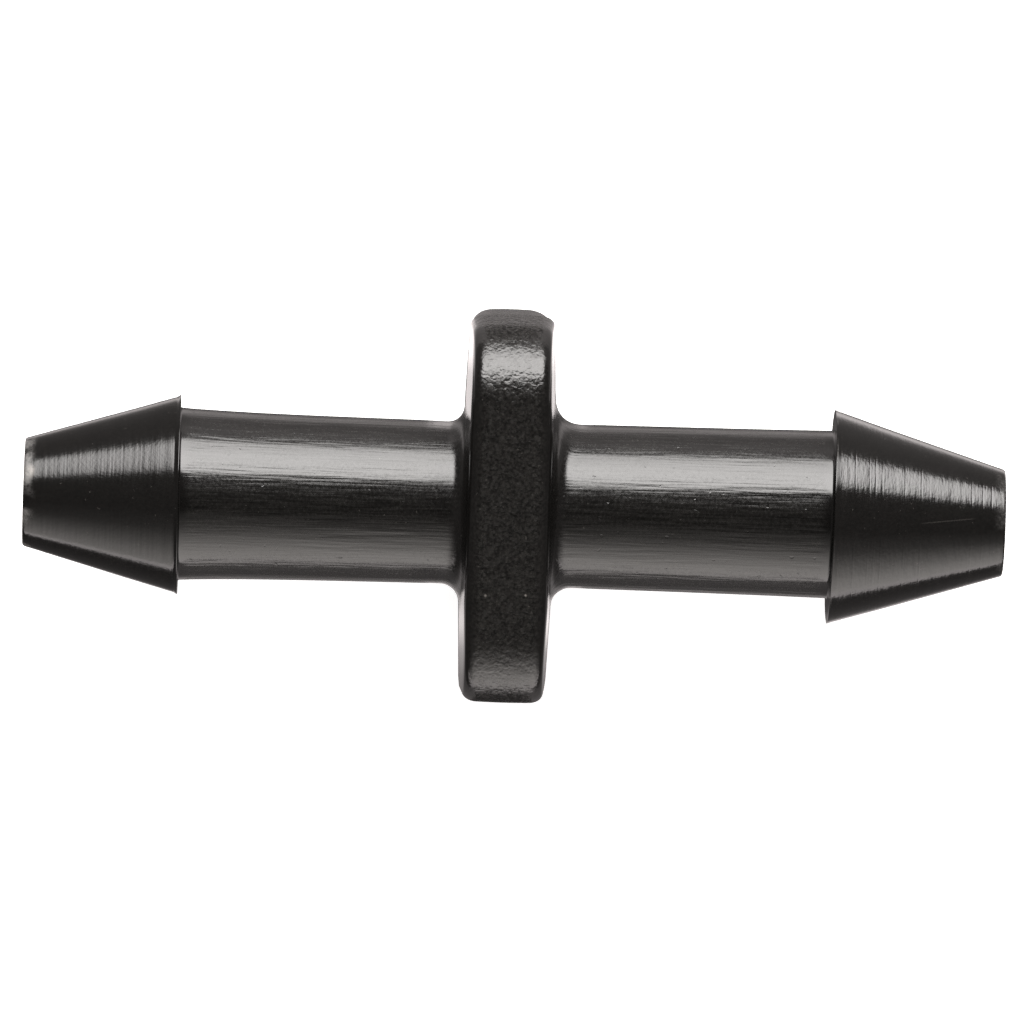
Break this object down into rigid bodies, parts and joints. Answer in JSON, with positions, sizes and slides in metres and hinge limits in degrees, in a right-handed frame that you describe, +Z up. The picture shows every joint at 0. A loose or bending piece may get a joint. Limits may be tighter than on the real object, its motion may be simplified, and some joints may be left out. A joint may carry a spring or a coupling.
{
  "type": "hose mender",
  "caption": "Straight hose mender: a tube with a sharp-lipped barb at each end and a rounded rectangular collar in the middle, moulded whole in black plastic.",
  "frame": {"origin": "on the axis of the water way, in the middle of the collar's thickness", "axes": "+X along the water way towards the barb with the wider lip, +Y along the collar's long side, +Z up, square to the mould's parting plane"},
  "size_m": [0.026, 0.0102, 0.0064],
  "materials": {
    "black_plastic": "as moulded: satin necks with drag marks, fine turned rings on the cones, spark-eroded grain on the collar"
  },
  "bodies": {
    "root": {"hose_mender": "black_plastic"}
  },
  "joints": []
}
